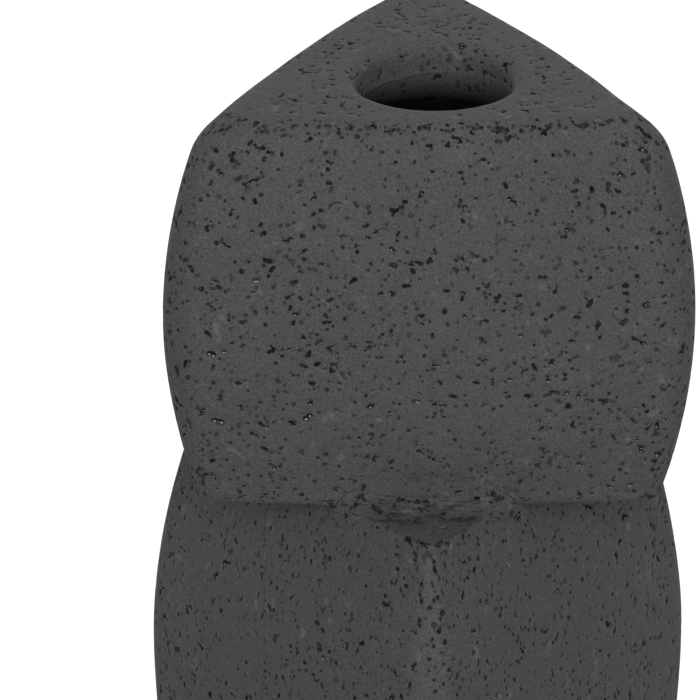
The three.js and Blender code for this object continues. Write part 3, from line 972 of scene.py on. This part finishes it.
def stoneware(name, body, smear=0.0, throat=False):
    """Matt fired clay of this body tone. A throat has painted shade, black low down in it, and a smeared one
    has dark streaks on what faces up.
    """
    n = Nodes(name)
    grain = n.noise(GRAIN, 2.0, 0.6)
    colour = clay_tone(n, body, grain)
    if smear:
        colour = n.mix(streaks(n, smear), colour, grey(body * STREAKED))
    colour = n.mix(n.ramp(n.noise(SCUFFS, 4.0, 0.65), 0.61, 0.72, 0.0, 0.5), colour, grey(body * SCUFFED))
    colour = n.mix(n.ramp(n.noise(SPECKS, 1.0), 0.3, 0.2, 0.0, 0.55), colour, grey(body * SPECKED))
    pit = n.mark("pit")
    shine = n.ramp(pit, 0.1, 0.6, 1.0, 0.15)
    if throat:
        # Painted shade: the throat goes near black below these heights, and loses its shine there.
        height = n.part("ShaderNodeSeparateXYZ", "Vector", n.coords, "Z")
        unlit = n.ramp(height, *THROAT_SHADE_HEIGHTS, 0.97, 0.0)
        colour = n.mix(unlit, colour, grey(body * UNLIT))
        shine = n.times(shine, n.sum(1.0, unlit, "SUBTRACT"))
    dent, dent_shade = dents(n)
    # Painted shade in the dents, darker at their rims.
    colour = n.mix(dent_shade, colour, grey(body * DENT_SHADE))
    # Painted shade in the pits.
    colour = n.mix(pit_shade(n, pit), colour, grey(body * PIT_SHADE))
    colour = n.mix(n.times(n.mark("warm"), 0.5), colour, (*(body * share for share in RUST_TONE), 1))
    # Painted highlight: light grey on the lower side of some pits.
    colour = n.mix(n.ramp(n.mark("glint"), 0.45, 0.95, 0.0, 0.8), colour, PAINTED_GLINT_TONE)
    rough = n.sum(n.ramp(grain, 0.3, 0.7, 0.78, 0.95), n.ramp(pit, 0.3, 0.9, 0.0, 0.35), "SUBTRACT")
    relief = n.sum(n.times(grain, 0.5), n.noise(RELIEF, 2.0, 0.55))
    relief = n.sum(relief, dent, "SUBTRACT")
    bump = n.make("ShaderNodeBump", {"Strength": 0.35, "Distance": 0.25 * MM, "Height": relief})
    shader = n.make("ShaderNodeBsdfPrincipled", {
        "Base Color": colour, "Roughness": rough, "Normal": bump.outputs["Normal"], "Metallic": 0.0,
        "Specular IOR Level": n.times(shine, 0.2), "Sheen Weight": n.times(shine, 0.05),
        "Sheen Roughness": 0.4,
    })
    n.make("ShaderNodeOutputMaterial", {"Surface": shader.outputs[0]})
    return n.material


body_clay = stoneware("stoneware", body=0.066)
throat_clay = stoneware("stoneware_throat", body=0.06, throat=True)
coil_clay = stoneware("stoneware_coil", body=0.062, smear=0.75)
floor_clay = stoneware("stoneware_floor", body=0.06)

upper_block(body_clay)
throat_collar(throat_clay)
carried_block(MIDDLE, "upper_spigot", "middle_block", 301, body_clay)
carried_block(LOWER, "lower_spigot", "lower_block", 401, body_clay)
Waist(UPPER, MIDDLE, 501).build("upper_waist_coil", coil_clay)
Waist(MIDDLE, LOWER, 601).build("lower_waist_coil", coil_clay)
for node in ("upper_floor", "middle_floor", "upper_spigot", "lower_spigot", "base_slab"):
    cad_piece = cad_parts[node]
    for socket in cad_piece.material_slots:
        socket.material = floor_clay
    if not cad_piece.material_slots:
        cad_piece.data.materials.append(floor_clay)

# ---------------------------------------------------------------- floor, light and camera
HALF_FLOOR = 30.0
SEEN_WHITE = 1.1              # the strength of the white that only the camera sees
SKY = 0.37
WHITE = (1, 1, 1, 1)

floor_mesh = bpy.data.meshes.new("studio_floor")
floor_corners = [(x * HALF_FLOOR, y * HALF_FLOOR, 0) for x, y in ((-1, -1), (1, -1), (1, 1), (-1, 1))]
floor_mesh.from_pydata(floor_corners, [], [(0, 1, 2, 3)])
studio_floor = bpy.data.objects.new("studio_floor", floor_mesh)
bpy.context.collection.objects.link(studio_floor)
paper = Nodes("studio_paper")
paper_tone = paper.mix(paper.noise(3.0), grey(0.56), grey(0.6))
paper_shader = paper.make("ShaderNodeBsdfPrincipled", {
    "Base Color": paper_tone, "Roughness": 0.95, "Specular IOR Level": 0.0,
})
paper_lit = paper.make("ShaderNodeEmission", {"Color": WHITE, "Strength": SEEN_WHITE})
seen = paper.make("ShaderNodeLightPath").outputs["Is Camera Ray"]
paper_seen = paper.make("ShaderNodeMixShader", {0: seen, 1: paper_shader.outputs[0], 2: paper_lit.outputs[0]})
paper.make("ShaderNodeOutputMaterial", {"Surface": paper_seen.outputs[0]})
studio_floor.data.materials.append(paper.material)

world = bpy.data.worlds.new("studio")
bpy.context.scene.world = world
world.use_nodes = True
sky = world.node_tree.nodes["Background"]
sky.inputs["Color"].default_value = WHITE
sky_path = world.node_tree.nodes.new("ShaderNodeLightPath")
sky_level = world.node_tree.nodes.new("ShaderNodeMapRange")
sky_level.inputs["To Min"].default_value = SKY
sky_level.inputs["To Max"].default_value = SEEN_WHITE
world.node_tree.links.new(sky_path.outputs["Is Camera Ray"], sky_level.inputs["Value"])
world.node_tree.links.new(sky_level.outputs["Result"], sky.inputs["Strength"])

TARGET = Vector((0.0011, 0.0, 0.32685))
LIGHTS = {                    # azimuth and elevation in degrees, distance and size in metres, power in watts
    "key": (1, 25, 3.0, 1.2, 62),
    "top": (180, 74, 2.4, 1.3, 16.5),
    "left_rim": (-142, 12, 2.6, 1.0, 8),
    "right_rim": (142, 12, 2.6, 1.0, 8),
}


def soft_light(name, azimuth, elevation, distance, size, power):
    """A square soft box that faces the vase. Azimuth 0 is in front of it and 90 to its right."""
    data = bpy.data.lights.new(name, "AREA")
    data.shape, data.size, data.energy = "SQUARE", size, power
    light = bpy.data.objects.new(name, data)
    a, e = math.radians(azimuth), math.radians(elevation)
    back = Vector((math.sin(a) * math.cos(e), -math.cos(a) * math.cos(e), math.sin(e)))
    light.location = TARGET + back * distance
    light.rotation_mode = "QUATERNION"
    light.rotation_quaternion = back.to_track_quat("Z", "Y")
    bpy.context.collection.objects.link(light)


for light_name, light_settings in LIGHTS.items():
    soft_light(light_name, *light_settings)

VIEW_WIDTH = 184.697 * MM     # what the frame takes in at the vase
AIM_LEFT, AIM_DOWN = 20.50 * MM, 23.69 * MM     # from the target to the middle of the frame
ELEVATION, AZIMUTH, TILT = math.radians(23.2), math.radians(-0.88), math.radians(0.18)
DISTANCE = 7.0
SENSOR = 36                   # in mm
camera_data = bpy.data.cameras.new("camera")
camera_data.sensor_width = SENSOR
camera_data.lens = SENSOR * DISTANCE / VIEW_WIDTH
camera_data.clip_start, camera_data.clip_end = 0.5, 200
camera = bpy.data.objects.new("camera", camera_data)
bpy.context.collection.objects.link(camera)
back = Vector((
    math.sin(AZIMUTH) * math.cos(ELEVATION), -math.cos(AZIMUTH) * math.cos(ELEVATION), math.sin(ELEVATION),
))
turned = back.to_track_quat("Z", "Y").to_matrix() @ Matrix.Rotation(TILT, 3, "Z")
camera.location = TARGET - turned.col[0] * AIM_LEFT - turned.col[1] * AIM_DOWN + back * DISTANCE
camera.rotation_mode = "QUATERNION"
camera.rotation_quaternion = turned.to_quaternion()
bpy.context.scene.camera = camera

view = bpy.context.scene.view_settings
view.view_transform = "Standard"
view.look = "None"
view.exposure = 0
view.gamma = 1
